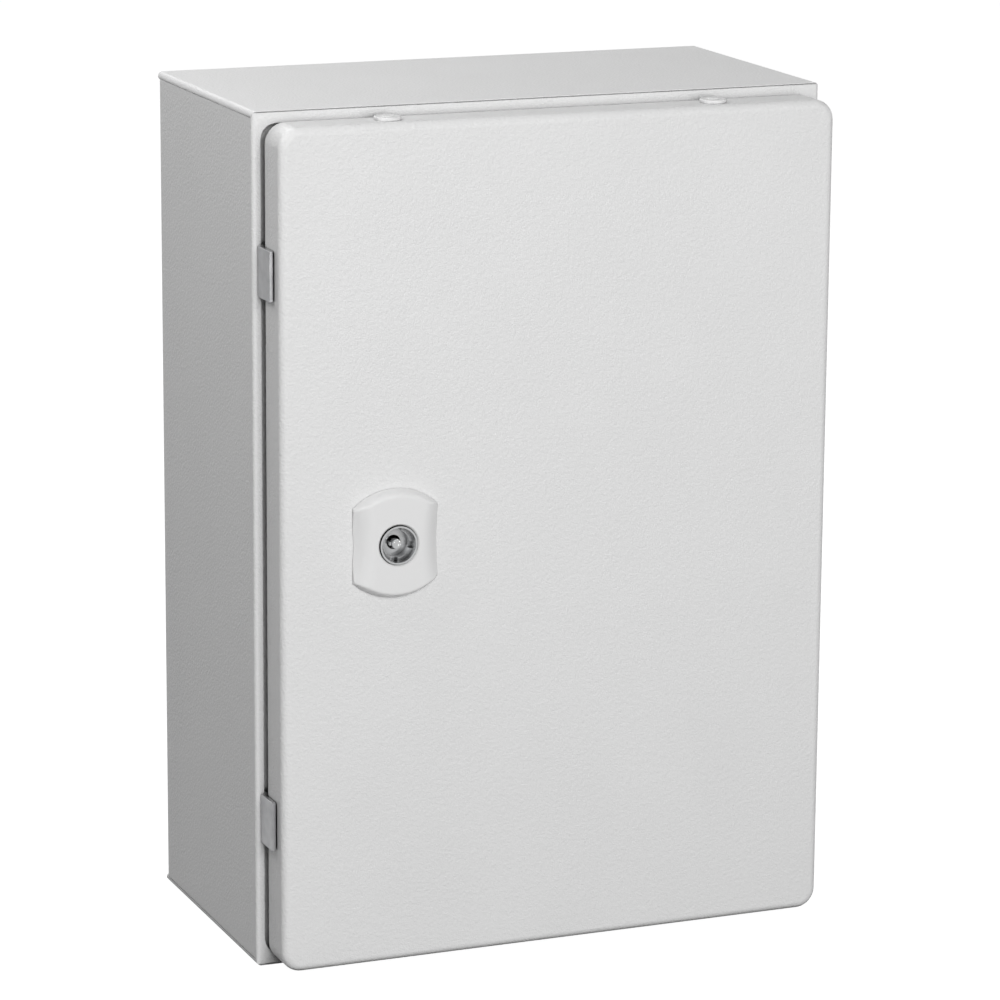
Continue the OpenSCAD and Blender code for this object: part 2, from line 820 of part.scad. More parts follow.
// Chromed housing: head ring, notched ledge, cup and threaded body
module lock_housing() {
  head_r = head_d / 2;
  body_r = lock_body_d / 2;
  ledge_r = head_r - head_wall;
  cup_r = head_r - cup_wall;
  color(chrome) on_lock() difference() {
    rotate_extrude() polygon([
      [head_r, head_front], [head_r, 0], [body_r, 0], [body_r, -lock_body_l],
      [lock_bore_r, -lock_body_l], [lock_bore_r, head_front - cup_depth],
      [cup_r, head_front - cup_depth], [cup_r, head_front - ledge_depth],
      [ledge_r, head_front - ledge_depth], [ledge_r, head_front]
    ]);
    for (k = [0:3])
      rotate(notch_turn + k * 90)
        translate([cup_r - 1, -notch_w / 2, head_front - ledge_depth - notch_depth])
          cube([ledge_r - cup_r + 1, notch_w, notch_depth + 1]);
  }
}

module lock_nut() {
  color(zinc) on_lock() translate([0, 0, -sheet_t - lock_nut_t]) hex_nut(lock_body_d, lock_nut_flats, lock_nut_t);
}

// Spindle with the double-bit pin at its front and a square for the cam at its back
module lock_spindle() {
  face = head_front - cup_depth - key_recess;
  tip = head_front - key_pin_back;
  rear = -lock_body_l - collar_gap;
  bit_r = spindle_d / 2 - 0.4;
  color(chrome) on_lock() difference() {
    union() {
      translate([0, 0, rear]) cylinder(d = spindle_d, h = face - rear);
      translate([0, 0, face]) cylinder(d = key_pin_d, h = tip - face);
      translate([-bit_r, -key_bit_t / 2, face]) cube([2 * bit_r, key_bit_t, tip - face - bit_back]);
      translate([0, 0, -cam_front]) cylinder(d = collar_d, h = cam_front + rear);
      translate([-square_a / 2, -square_a / 2, -cam_back]) cube([square_a, square_a, cam_t]);
    }
    translate([0, 0, -cam_back - 1]) cylinder(d = cam_screw_d, h = cam_screw_l + 1);
  }
}

// Cam, hanging down when the lock is open
module latch_cam() {
  tip_r = cam_w / 2;
  hub_r = cam_washer_d / 2 + 2;
  hole = square_a + 2 * square_clear;
  color(zinc) on_lock() translate([0, 0, -cam_back]) linear_extrude(cam_t) difference() {
    union() {
      circle(hub_r);
      translate([-tip_r, -cam_l + tip_r]) square([cam_w, cam_l - tip_r]);
      translate([0, -cam_l + tip_r]) circle(tip_r);
    }
    square(hole, center = true);
  }
}

module cam_washer() {
  color(zinc) on_lock() translate([0, 0, -cam_back - cam_washer_t]) flat_washer(cam_screw_d, cam_washer_d, cam_washer_t);
}

module cam_screw() {
  seat = -cam_back - cam_washer_t;
  color(zinc) on_lock() {
    translate([0, 0, seat]) cylinder(d = cam_screw_d, h = cam_screw_l);
    translate([0, 0, seat - cam_screw_h]) cylinder(r = cam_screw_flats / 2 / cos(30), h = cam_screw_h, $fn = 6);
  }
}

body_shell();
top_panel();
bottom_panel();
rain_channel();
latch_keeper();
hinge_bracket(hinge_z[0]);  // hinge_bracket_upper
hinge_bracket(hinge_z[1]);  // hinge_bracket_lower
hinge_screws();
door_guide(hinge_z[0]);  // door_guide_upper
door_guide(hinge_z[1]);  // door_guide_lower
plate_studs();
plate_spacers();
mounting_plate();
plate_washers();
plate_nuts();
gland_gasket();
gland_plate();
gland_studs();
gland_washers();
gland_nuts();
body_earth_stud();
body_earth_washer();
body_earth_nut();
door_shell();
door_gasket();
door_plug(-plug_spread / 2);  // door_plug_left
door_plug(plug_spread / 2);  // door_plug_right
hinge_leaf(hinge_z[0]);  // hinge_leaf_upper
hinge_leaf(hinge_z[1]);  // hinge_leaf_lower
hinge_pin(hinge_z[0]);  // hinge_pin_upper
hinge_pin(hinge_z[1]);  // hinge_pin_lower
door_earth_stud();
door_earth_washer();
door_earth_nut();
lock_cover();
lock_seal();
lock_housing();
lock_nut();
lock_spindle();
latch_cam();
cam_washer();
cam_screw();
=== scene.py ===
import json
import math
import bmesh
import bpy
from mathutils import Matrix, Vector


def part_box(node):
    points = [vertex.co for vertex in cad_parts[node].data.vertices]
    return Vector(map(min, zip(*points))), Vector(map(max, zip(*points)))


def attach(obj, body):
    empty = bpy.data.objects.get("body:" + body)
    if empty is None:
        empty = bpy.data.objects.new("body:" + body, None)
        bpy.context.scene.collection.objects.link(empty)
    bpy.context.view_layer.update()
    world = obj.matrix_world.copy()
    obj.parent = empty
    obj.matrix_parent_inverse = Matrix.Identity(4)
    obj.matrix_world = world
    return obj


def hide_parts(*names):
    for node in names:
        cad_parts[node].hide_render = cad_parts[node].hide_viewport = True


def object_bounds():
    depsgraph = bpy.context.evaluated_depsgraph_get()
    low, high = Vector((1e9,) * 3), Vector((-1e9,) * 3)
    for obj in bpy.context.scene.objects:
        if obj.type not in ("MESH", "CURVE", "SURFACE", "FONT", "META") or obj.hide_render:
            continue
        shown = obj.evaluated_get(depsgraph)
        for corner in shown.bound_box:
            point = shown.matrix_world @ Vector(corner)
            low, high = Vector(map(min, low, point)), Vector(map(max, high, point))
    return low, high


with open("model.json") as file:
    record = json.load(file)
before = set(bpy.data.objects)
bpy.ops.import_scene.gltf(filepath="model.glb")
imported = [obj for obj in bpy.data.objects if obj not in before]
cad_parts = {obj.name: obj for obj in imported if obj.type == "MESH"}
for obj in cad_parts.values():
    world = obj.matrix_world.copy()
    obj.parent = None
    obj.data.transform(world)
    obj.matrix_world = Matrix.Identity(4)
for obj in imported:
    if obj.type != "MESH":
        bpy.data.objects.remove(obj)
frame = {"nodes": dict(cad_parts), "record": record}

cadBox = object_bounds()
mm = 0.001
print("frame loaded, CAD box", cadBox)


def linearColour(code):
    parts = [int(code[i:i + 2], 16) / 255 for i in (1, 3, 5)]
    return [c / 12.92 if c <= 0.04045 else ((c + 0.055) / 1.055) ** 2.4 for c in parts] + [1.0]


def addNode(tree, kind, inputs=None, **settings):
    node = tree.nodes.new(kind)
    for key, value in settings.items():
        setattr(node, key, value)
    for key, value in (inputs or {}).items():
        if isinstance(value, bpy.types.NodeSocket):
            tree.links.new(value, node.inputs[key])
        else:
            node.inputs[key].default_value = value
    return node



def startMaterial(name, colour, roughness, metallic=0.0):
    material = bpy.data.materials.new(name)
    material.use_nodes = True
    tree = material.node_tree
    shader = tree.nodes["Principled BSDF"]
    shader.inputs["Base Color"].default_value = linearColour(colour)
    shader.inputs["Roughness"].default_value = roughness
    shader.inputs["Metallic"].default_value = metallic
    place = addNode(tree, "ShaderNodeTexCoord").outputs["Object"]
    return material, tree, shader, place


def tintByFactor(tree, factor, first, second):
    ends = {key: linearColour(tone) if isinstance(tone, str) else tone for key, tone in (("A", first), ("B", second))}
    return addNode(tree, "ShaderNodeMix", {"Factor": factor, **ends}, data_type="RGBA").outputs["Result"]


def paintedShadeMask(tree, reach, closed, free):
    # mask for painted shade, from ambient occlusion: 0 in a gap narrower than the reach, 1 on an open face
    hidden = addNode(tree, "ShaderNodeAmbientOcclusion", {"Distance": reach * mm}, samples=6)
    return addNode(tree, "ShaderNodeMapRange",
                   {"Value": hidden.outputs["AO"], "From Min": closed, "From Max": free}).outputs["Result"]


def powderCoat():
    # polyester powder on steel sheet, sprayed and baked: semi-gloss, with an orange peel whose dimples glint;
    # in narrow gaps the colour goes to near black by an ambient-occlusion mask, which is painted shade
    look = dict(colour="#DEDEDE", shade="#D9D9D9", paintedGapShade="#0E0E0F", roughness=0.36, peel=1.8, grain=0.9,
                peelHeight=0.3, grainHeight=0.08, gap=16.0, closed=0.2, free=0.45)
    material, tree, shader, place = startMaterial("powderCoatLightGrey", look["colour"], look["roughness"])
    peel = addNode(tree, "ShaderNodeTexNoise",
                   {"Vector": place, "Scale": 1 / (look["peel"] * mm), "Detail": 1.0, "Roughness": 0.5})
    grain = addNode(tree, "ShaderNodeTexNoise", {"Vector": place, "Scale": 1 / (look["grain"] * mm), "Detail": 1.0})
    cloud = addNode(tree, "ShaderNodeTexNoise", {"Vector": place, "Scale": 1 / (60 * mm), "Detail": 3.0})
    first = addNode(tree, "ShaderNodeBump",
                    {"Height": peel.outputs["Fac"], "Strength": 1.0, "Distance": look["peelHeight"] * mm})
    second = addNode(tree, "ShaderNodeBump", {"Height": grain.outputs["Fac"], "Normal": first.outputs["Normal"],
                      "Strength": 1.0, "Distance": look["grainHeight"] * mm})
    tone = tintByFactor(tree, cloud.outputs["Fac"], look["colour"], look["shade"])
    # painted shade: the coat colour is mixed toward near black where ambient occlusion finds a narrow gap
    coat = tintByFactor(tree, paintedShadeMask(tree, look["gap"], look["closed"], look["free"]), look["paintedGapShade"], tone)
    tree.links.new(coat, shader.inputs["Base Color"])
    tree.links.new(second.outputs["Normal"], shader.inputs["Normal"])
    return material


def castingPaint():
    # zinc die casting with a smooth stoved paint: even, softer in its shine than the powder; at its foot the colour
    # goes to near black by an ambient-occlusion mask, painted shade in the shadow gap
    look = dict(colour="#DDDDDD", paintedFootShade="#161617", roughness=0.36, flow=4.0, height=0.008, gap=1.5, closed=0.3, free=0.5)
    material, tree, shader, place = startMaterial("castingPaintLightGrey", look["colour"], look["roughness"])
    flow = addNode(tree, "ShaderNodeTexNoise", {"Vector": place, "Scale": 1 / (look["flow"] * mm), "Detail": 2.0})
    bump = addNode(tree, "ShaderNodeBump",
                   {"Height": flow.outputs["Fac"], "Strength": 1.0, "Distance": look["height"] * mm})
    # painted shade: near-black colour where ambient occlusion finds the narrow gap at the foot
    paint = tintByFactor(tree, paintedShadeMask(tree, look["gap"], look["closed"], look["free"]), look["paintedFootShade"], look["colour"])
    tree.links.new(paint, shader.inputs["Base Color"])
    tree.links.new(bump.outputs["Normal"], shader.inputs["Normal"])
    return material


def zincPlate():
    # bright zinc on turned or blanked steel: grey, with faint cloudy patches
    look = dict(colour="#C9C9CA", dull="#A9AAAC", roughness=0.34, patch=6.0)
    material, tree, shader, place = startMaterial("brightZincPlate", look["colour"], look["roughness"], 1.0)
    patch = addNode(tree, "ShaderNodeTexNoise", {"Vector": place, "Scale": 1 / (look["patch"] * mm), "Detail": 4.0})
    rough = addNode(tree, "ShaderNodeMapRange", {"Value": patch.outputs["Fac"], "To Min": 0.26, "To Max": 0.44})
    tree.links.new(tintByFactor(tree, patch.outputs["Fac"], look["colour"], look["dull"]), shader.inputs["Base Color"])
    tree.links.new(rough.outputs["Result"], shader.inputs["Roughness"])
    return material


def galvanisedSheet():
    # hot-dip galvanised sheet: spangle crystals of about 9 mm, each with its own shine
    look = dict(light="#C2C4C5", dark="#A4A7A9", spangle=9.0)
    material, tree, shader, place = startMaterial("galvanisedSheet", look["light"], 0.42, 1.0)
    cells = addNode(tree, "ShaderNodeTexVoronoi", {"Vector": place, "Scale": 1 / (look["spangle"] * mm)})
    rough = addNode(tree, "ShaderNodeMapRange", {"Value": cells.outputs["Color"], "To Min": 0.32, "To Max": 0.52})
    tree.links.new(tintByFactor(tree, cells.outputs["Color"], look["light"], look["dark"]), shader.inputs["Base Color"])
    tree.links.new(rough.outputs["Result"], shader.inputs["Roughness"])
    return material


def chromePlate(name, speckle):
    # bright chrome on a zinc casting: mirror-like on the faces; in the notches, down the hole and low on the walls
    # of the recess its colour goes to near black by an ambient-occlusion mask, which is painted shade
    look = dict(colour="#DCDDDE", dull="#0B0B0C", marks=0.5, gap=5.0, closed=0.15, free=0.75)
    material, tree, shader, place = startMaterial(name, look["colour"], 0.1, 1.0)
    marks = addNode(tree, "ShaderNodeTexNoise", {"Vector": place, "Scale": 1 / (look["marks"] * mm), "Detail": 3.0})
    rough = addNode(tree, "ShaderNodeMapRange", {"Value": marks.outputs["Fac"], "To Min": 0.04, "To Max": 0.2})
    bump = addNode(tree, "ShaderNodeBump", {"Height": marks.outputs["Fac"], "Strength": 1.0, "Distance": speckle * mm})
    # painted shade: near-black colour where ambient occlusion finds the recess, hole and notches
    chromeWithPaintedShade = tintByFactor(tree, paintedShadeMask(tree, look["gap"], look["closed"], look["free"]), look["dull"], look["colour"])
    tree.links.new(chromeWithPaintedShade, shader.inputs["Base Color"])
    tree.links.new(rough.outputs["Result"], shader.inputs["Roughness"])
    tree.links.new(bump.outputs["Normal"], shader.inputs["Normal"])
    return material


def polyurethaneFoam():
    # foamed-in-place polyurethane: dark, dull, with a skin full of pores of under a millimetre
    look = dict(colour="#3A3B3D", pore=0.9, depth=0.15)
    material, tree, shader, place = startMaterial("polyurethaneFoam", look["colour"], 0.85)
    pores = addNode(tree, "ShaderNodeTexVoronoi", {"Vector": place, "Scale": 1 / (look["pore"] * mm)})
    bump = addNode(tree, "ShaderNodeBump",
                   {"Height": pores.outputs["Distance"], "Strength": 0.8, "Distance": look["depth"] * mm})
    tree.links.new(bump.outputs["Normal"], shader.inputs["Normal"])
    return material


def rubberSheet():
    # punched sheet rubber: black, matt, with a faint calender grain
    look = dict(colour="#1D1D1E", grain=0.7, depth=0.04)
    material, tree, shader, place = startMaterial("punchedRubberSheet", look["colour"], 0.7)
    grain = addNode(tree, "ShaderNodeTexNoise", {"Vector": place, "Scale": 1 / (look["grain"] * mm), "Detail": 2.0})
    bump = addNode(tree, "ShaderNodeBump",
                   {"Height": grain.outputs["Fac"], "Strength": 0.7, "Distance": look["depth"] * mm})
    tree.links.new(bump.outputs["Normal"], shader.inputs["Normal"])
    return material


finish = {
    "powder_coat": powderCoat(), "zinc_plate": zincPlate(), "galvanised_sheet": galvanisedSheet(),
    "chrome_plate": chromePlate("brightChromePlate", 0.012),
    "foam_seal": polyurethaneFoam(), "flat_seal": rubberSheet(),
}
castPaint = castingPaint()
chromeCast = chromePlate("roughChromeCasting", 0.16)  # the pin keeps the grain of its casting
slotOf = {row["node"]: row["material_slot"] for row in frame["record"]["subparts"]}
bodyOf = {node: body for body, nodes in frame["record"]["behaviour"]["bodies"].items() for node in nodes}
print("materials made")



def plainMesh(piece, name):
    depsgraph = bpy.context.evaluated_depsgraph_get()
    mesh = bpy.data.meshes.new_from_object(piece.evaluated_get(depsgraph))
    mesh.name = name
    piece.modifiers.clear()
    piece.data = mesh
    return piece


def newPiece(name, mesh):
    piece = bpy.data.objects.new(name, mesh)
    bpy.context.collection.objects.link(piece)
    return piece


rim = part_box("body_shell")[0][1]
weld = dict(fromSide=5.5, fromRim=1.7, fromEnd=2.0)


def groundWeld(edge):
    # where the flanges of the walls and end panels meet in front, the weld is ground flush and painted over
    side = cadBox[1][0] - weld["fromSide"] * mm
    return all(v.co.y < rim + weld["fromRim"] * mm and abs(v.co.x) > side for v in edge.verts) \
        and all(min(v.co.z - cadBox[0][2], cadBox[1][2] - v.co.z) > weld["fromEnd"] * mm for v in edge.verts)


def softCopy(node, radius, segments=2):
    shape = bmesh.new()
    shape.from_mesh(frame["nodes"][node].data)
    bmesh.ops.remove_doubles(shape, verts=shape.verts, dist=soften["merge"])
    bmesh.ops.dissolve_limit(shape, angle_limit=math.radians(soften["flat"]), verts=shape.verts, edges=shape.edges)
    sharp = [e for e in shape.edges if len(e.link_faces) == 2 and e.calc_face_angle(0) > math.radians(soften["sharp"])
             and not (node in welded and groundWeld(e))]
    bmesh.ops.bevel(shape, geom=sharp, offset=radius * mm, offset_type="OFFSET", segments=segments,
                    profile=0.5, affect="EDGES", clamp_overlap=True)
    mesh = bpy.data.meshes.new(node + "Soft")
    shape.to_mesh(mesh)
    shape.free()
    mesh.shade_smooth()
    mesh.set_sharp_from_angle(angle=math.radians(soften["smooth"]))
    piece = newPiece(node + "Soft", mesh)
    weight = piece.modifiers.new("weightedNormals", "WEIGHTED_NORMAL")
    weight.keep_sharp = True
    weight.weight = soften["weight"]
    return plainMesh(piece, node + "Soft")


def finishPiece(piece, slotName, body, material=None):
    piece.data.materials.clear()
    piece.data.materials.append(material or finish[slotName])
    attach(piece, body)


soften = dict(merge=1e-6, flat=0.4, sharp=40, smooth=35, weight=50)
welded = ("body_shell", "top_panel", "bottom_panel")
edgeRadius = dict(
    body_shell=0.35, top_panel=0.25, bottom_panel=0.25, rain_channel=0.3, door_shell=0.35, mounting_plate=0.3,
    gland_plate=0.3, door_guide_upper=0.35, door_guide_lower=0.35, latch_keeper=0.3, hinge_bracket_upper=0.3,
    hinge_bracket_lower=0.3, hinge_leaf_upper=0.3, hinge_leaf_lower=0.3, lock_housing=0.2,
    lock_spindle=0.2, latch_cam=0.3, lock_nut=0.4, cam_screw=0.3, cam_washer=0.15, plate_nuts=0.35,
    plate_washers=0.15, plate_spacers=0.2, plate_studs=0.3, gland_nuts=0.25, gland_washers=0.12, gland_studs=0.2,
    gland_gasket=0.2, body_earth_stud=0.3, body_earth_nut=0.3, body_earth_washer=0.12, door_earth_stud=0.3,
    door_earth_nut=0.3, door_earth_washer=0.12, hinge_pin_upper=0.3, hinge_pin_lower=0.3, hinge_screws=0.3,
    lock_seal=0.1, door_plug_left=0.15, door_plug_right=0.15)

ownMaterial = dict(lock_spindle=chromeCast)
for node, radius in edgeRadius.items():
    piece = softCopy(node, radius)
    finishPiece(piece, slotOf[node], bodyOf[node], ownMaterial.get(node))
    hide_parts(node)
for node, obj in frame["nodes"].items():
    if node not in edgeRadius:
        obj.data.materials.clear()
        obj.data.materials.append(finish[slotOf[node]])
print("soft copies made:", len(edgeRadius))



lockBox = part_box("lock_housing")
lockX, lockZ = (lockBox[0][0] + lockBox[1][0]) / 2, (lockBox[0][2] + lockBox[1][2]) / 2
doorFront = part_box("door_shell")[0][1]


def softMin(a, b, width):
    blend = max(width - abs(a - b), 0) / width
    return min(a, b) - blend * blend * width / 4


def lockCover():
    size = dict(width=51.0, height=64.0, thick=7.0, endRadius=38.0, endSlope=2.6, waistRadius=94.0, waistSlope=7.8,
                bore=11.5, chamfer=1.0, foot=0.35, footIn=0.5, endBlend=3.6, waistBlend=1.5, rings=26, steps=60,
                crowding=1.5, halvings=40, smooth=38)
    halfWidth, thick, foot = size["width"] / 2, size["thick"], size["foot"]
    endY = size["height"] / 2 - size["endRadius"]
    waistX = halfWidth - size["waistSlope"] + size["waistRadius"]

    def top(x, y):
        ends = min((size["endRadius"] - math.hypot(x, y - c)) for c in (endY, -endY)) * thick / size["endSlope"]
        waist = (math.hypot(waistX - abs(x), y) - size["waistRadius"] + size["waistSlope"]) * thick / size["waistSlope"]
        return max(softMin(softMin(ends, waist, size["waistBlend"]), thick, size["endBlend"]), foot)

    def reach(turn):
        # how far the plan goes in a direction, before its slopes are lower than the foot
        low, high = size["bore"], size["height"]
        for k in range(size["halvings"]):
            mid = (low + high) / 2
            x, y = mid * math.cos(turn), mid * math.sin(turn)
            inside = abs(x) < halfWidth and all(math.hypot(x, y - c) < size["endRadius"] for c in (endY, -endY))
            low, high = (mid, high) if inside and top(x, y) > foot + 1e-4 else (low, mid)
        return low

    cornerY = math.sqrt(size["endRadius"] ** 2 - halfWidth ** 2) + endY
    corner = math.atan2(cornerY, halfWidth - 0.05)
    stops = [-corner, corner, math.pi - corner, math.pi + corner, 2 * math.pi - corner]
    turns = [a + (b - a) * k / size["steps"] for a, b in zip(stops, stops[1:]) for k in range(size["steps"])]
    rows = []
    for turn in turns:
        edge, inner = reach(turn), size["bore"] + size["chamfer"]
        line = [(size["bore"], 0.0), (size["bore"], thick - size["chamfer"])]
        for k in range(size["rings"] + 1):
            r = inner + (edge - inner) * (1 - (1 - k / size["rings"]) ** size["crowding"])
            line.append((r, top(r * math.cos(turn), r * math.sin(turn))))
        line += [(edge, foot), (edge - size["footIn"], foot), (edge - size["footIn"], 0.0)]
        rows.append([(lockX + r * math.cos(turn) * mm, doorFront - h * mm, lockZ + r * math.sin(turn) * mm)
                     for r, h in line])
    count, many = len(rows[0]), len(rows)
    faces = [(i * count + j, i * count + (j + 1) % count,
              (i + 1) % many * count + (j + 1) % count, (i + 1) % many * count + j)
             for i in range(many) for j in range(count)]
    mesh = bpy.data.meshes.new("lockCoverCast")
    mesh.from_pydata([v for row in rows for v in row], [], faces)
    shape = bmesh.new()
    shape.from_mesh(mesh)
    bmesh.ops.remove_doubles(shape, verts=shape.verts, dist=1e-6)
    bmesh.ops.recalc_face_normals(shape, faces=shape.faces)
    shape.to_mesh(mesh)
    shape.free()
    mesh.shade_smooth()
    mesh.set_sharp_from_angle(angle=math.radians(size["smooth"]))
    return newPiece("lockCoverCast", mesh)


cover = lockCover()
finishPiece(cover, "powder_coat", "door", castPaint)
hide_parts("lock_cover")
print("lock cover made")



def startTree(name, sizes):
    tree = bpy.data.node_groups.new(name, "GeometryNodeTree")
    tree.interface.new_socket("Geometry", in_out="INPUT", socket_type="NodeSocketGeometry")
    for key, value in sizes.items():
        kind = "NodeSocketInt" if isinstance(value, int) else "NodeSocketFloat"
        socket = tree.interface.new_socket(key, in_out="INPUT", socket_type=kind)
        socket.default_value = value
    tree.interface.new_socket("Geometry", in_out="OUTPUT", socket_type="NodeSocketGeometry")
    return tree, addNode(tree, "NodeGroupInput").outputs


def endTree(tree, geometry, material):
    whole = addNode(tree, "GeometryNodeRealizeInstances", {"Geometry": geometry})
    painted = addNode(tree, "GeometryNodeSetMaterial", {"Geometry": whole.outputs[0], "Material": material})
    addNode(tree, "NodeGroupOutput", {0: painted.outputs[0]})


def runTree(name, mesh, tree, sizes):
    piece = newPiece(name, mesh)
    modifier = piece.modifiers.new("shape", "NODES")
    modifier.node_group = tree
    for item in tree.interface.items_tree:
        if item.in_out == "INPUT" and item.name in sizes:
            modifier[item.identifier] = sizes[item.name]
    return plainMesh(piece, name)


def foamBead():
    # foamed-in-place seal: a bead with a round crown, laid round the inside of the door in one run
    size = {"Width": 0.2885, "Height": 0.4385, "Corner": 0.012, "Bead Width": 0.01,
            "Bead Height": 0.0095, "Waviness": 0.0004}
    lay = dict(cornerSteps=8, stride=0.003, crownSteps=16, waves=160.0, sink=0.75)
    tree, given = startTree("foamBead", size)
    path = addNode(tree, "GeometryNodeCurvePrimitiveQuadrilateral",
                   {"Width": given["Width"], "Height": given["Height"]})
    turned = addNode(tree, "GeometryNodeFilletCurve",
                     {"Curve": path.outputs[0], "Radius": given["Corner"], "Count": lay["cornerSteps"]}, mode="POLY")
    even = addNode(tree, "GeometryNodeResampleCurve",
                   {"Curve": turned.outputs[0], "Length": lay["stride"]}, mode="LENGTH")
    crown = addNode(tree, "GeometryNodeCurveArc",
                    {"Resolution": lay["crownSteps"], "Radius": 1.0, "Start Angle": 0.0, "Sweep Angle": math.pi},
                    mode="RADIUS")
    closed = addNode(tree, "GeometryNodeSetSplineCyclic", {"Geometry": crown.outputs[0], "Cyclic": True})
    half = addNode(tree, "ShaderNodeMath", {0: given["Bead Width"], 1: 0.5}, operation="MULTIPLY")
    spread = addNode(tree, "ShaderNodeCombineXYZ", {"X": half.outputs[0], "Y": given["Bead Height"], "Z": 1.0})
    section = addNode(tree, "GeometryNodeTransform", {"Geometry": closed.outputs[0], "Scale": spread.outputs[0]})
    flat = addNode(tree, "GeometryNodeSetCurveNormal", {"Curve": even.outputs[0]}, mode="Z_UP")
    bead = addNode(tree, "GeometryNodeCurveToMesh", {"Curve": flat.outputs[0], "Profile Curve": section.outputs[0]})
    wave = addNode(tree, "ShaderNodeTexNoise", {"Scale": lay["waves"], "Detail": 2.0})
    sunk = addNode(tree, "ShaderNodeMath", {0: wave.outputs["Fac"], 1: lay["sink"]}, operation="SUBTRACT")
    lift = addNode(tree, "ShaderNodeMath", {0: sunk.outputs[0], 1: given["Waviness"]}, operation="MULTIPLY")
    normal = addNode(tree, "GeometryNodeInputNormal")
    push = addNode(tree, "ShaderNodeVectorMath", {0: normal.outputs[0], "Scale": lift.outputs[0]}, operation="SCALE")
    moved = addNode(tree, "GeometryNodeSetPosition", {"Geometry": bead.outputs[0], "Offset": push.outputs[0]})
    endTree(tree, moved.outputs[0], finish["foam_seal"])
    return runTree("foamBead", bpy.data.meshes.new("foamStart"), tree, size)


crestForm = dict(share=0.26, sides=5, turnSteps=20, padShare=0.75, rootShare=0.1)


def threadRidge(name, feet, axis, radius, length, pitch):
    # the crest of a rolled thread, wound round each stud from its foot
    size = {"Pitch": pitch * mm, "Radius": radius * mm, "Length": length * mm}
    tree, given = startTree(name, size)
    turns = addNode(tree, "ShaderNodeMath", {0: given["Length"], 1: given["Pitch"]}, operation="DIVIDE")
    coil = addNode(tree, "GeometryNodeCurveSpiral",
                   {"Rotations": turns.outputs[0], "Start Radius": given["Radius"], "End Radius": given["Radius"],
                    "Height": given["Length"], "Resolution": crestForm["turnSteps"]})
    crestRadius = addNode(tree, "ShaderNodeMath", {0: given["Pitch"], 1: crestForm["share"]}, operation="MULTIPLY")
    crest = addNode(tree, "GeometryNodeCurvePrimitiveCircle",
                    {"Radius": crestRadius.outputs[0], "Resolution": crestForm["sides"]})
    ridge = addNode(tree, "GeometryNodeCurveToMesh",
                    {"Curve": coil.outputs[0], "Profile Curve": crest.outputs[0], "Fill Caps": True})
    start = addNode(tree, "NodeGroupInput").outputs["Geometry"]
    points = addNode(tree, "GeometryNodeMeshToPoints", {"Mesh": start})
    lean = Vector((0, 0, 1)).rotation_difference(Vector(axis)).to_euler()
    placed = addNode(tree, "GeometryNodeInstanceOnPoints",
                     {"Points": points.outputs[0], "Instance": ridge.outputs[0], "Rotation": lean})
    endTree(tree, placed.outputs[0], finish["zinc_plate"])
    mesh = bpy.data.meshes.new(name + "Feet")
    mesh.from_pydata(feet, [], [])
    piece = runTree(name, mesh, tree, size)
    piece.data.shade_smooth()
    return piece


def lockSerration():
    # fine radial ribs on the ledge of the lock, left out at its four notches
    size = {"Count": 90, "Radius": 0.0089, "Rib Length": 0.0013, "Rib Width": 0.0003, "Rib Height": 0.0004,
            "Notch Turn": math.radians(-8), "Notch Half": math.radians(15)}
    tree, given = startTree("lockSerration", size)
    ring = addNode(tree, "GeometryNodeMeshCircle", {"Vertices": given["Count"], "Radius": given["Radius"]})
    index = addNode(tree, "GeometryNodeInputIndex")
    swept = addNode(tree, "ShaderNodeMath", {0: index.outputs[0], 1: 2 * math.pi}, operation="MULTIPLY")
    angle = addNode(tree, "ShaderNodeMath", {0: swept.outputs[0], 1: given["Count"]}, operation="DIVIDE")
    past = addNode(tree, "ShaderNodeMath", {0: angle.outputs[0], 1: given["Notch Turn"]}, operation="SUBTRACT")
    off = addNode(tree, "ShaderNodeMath", {0: past.outputs[0], 1: math.pi / 4}, operation="PINGPONG")
    keep = addNode(tree, "ShaderNodeMath", {0: off.outputs[0], 1: given["Notch Half"]}, operation="GREATER_THAN")
    ribSize = addNode(tree, "ShaderNodeCombineXYZ",
                      {"X": given["Rib Length"], "Y": given["Rib Width"], "Z": given["Rib Height"]})
    rib = addNode(tree, "GeometryNodeMeshCube", {"Size": ribSize.outputs[0]})
    facing = addNode(tree, "ShaderNodeCombineXYZ", {"Z": angle.outputs[0]})
    placed = addNode(tree, "GeometryNodeInstanceOnPoints",
                     {"Points": ring.outputs[0], "Selection": keep.outputs[0], "Instance": rib.outputs[0],
                      "Rotation": facing.outputs[0]})
    upright = addNode(tree, "GeometryNodeTransform", {"Geometry": placed.outputs[0], "Rotation": (math.pi / 2, 0, 0)})
    endTree(tree, upright.outputs[0], finish["chrome_plate"])
    return runTree("lockSerration", bpy.data.meshes.new("serrationStart"), tree, size)


def moveMesh(piece, place, turn=None):
    piece.data.transform(Matrix.Translation(place) @ (turn or Matrix.Identity(4)))


def centre(box, k):
    return (box[0][k] + box[1][k]) / 2


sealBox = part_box("door_gasket")
bead = foamBead()
moveMesh(bead, (centre(sealBox, 0), sealBox[0][1], centre(sealBox, 2)), Matrix.Rotation(math.radians(90), 4, "X"))
finishPiece(bead, "foam_seal", "door", finish["foam_seal"])
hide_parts("door_gasket")

ledge = dict(depth=4.3, ribHeight=0.4)
ribs = lockSerration()
moveMesh(ribs, (lockX, lockBox[0][1] + (ledge["depth"] - ledge["ribHeight"] / 2 + 0.05) * mm, lockZ))
finishPiece(ribs, "chrome_plate", "door", finish["chrome_plate"])

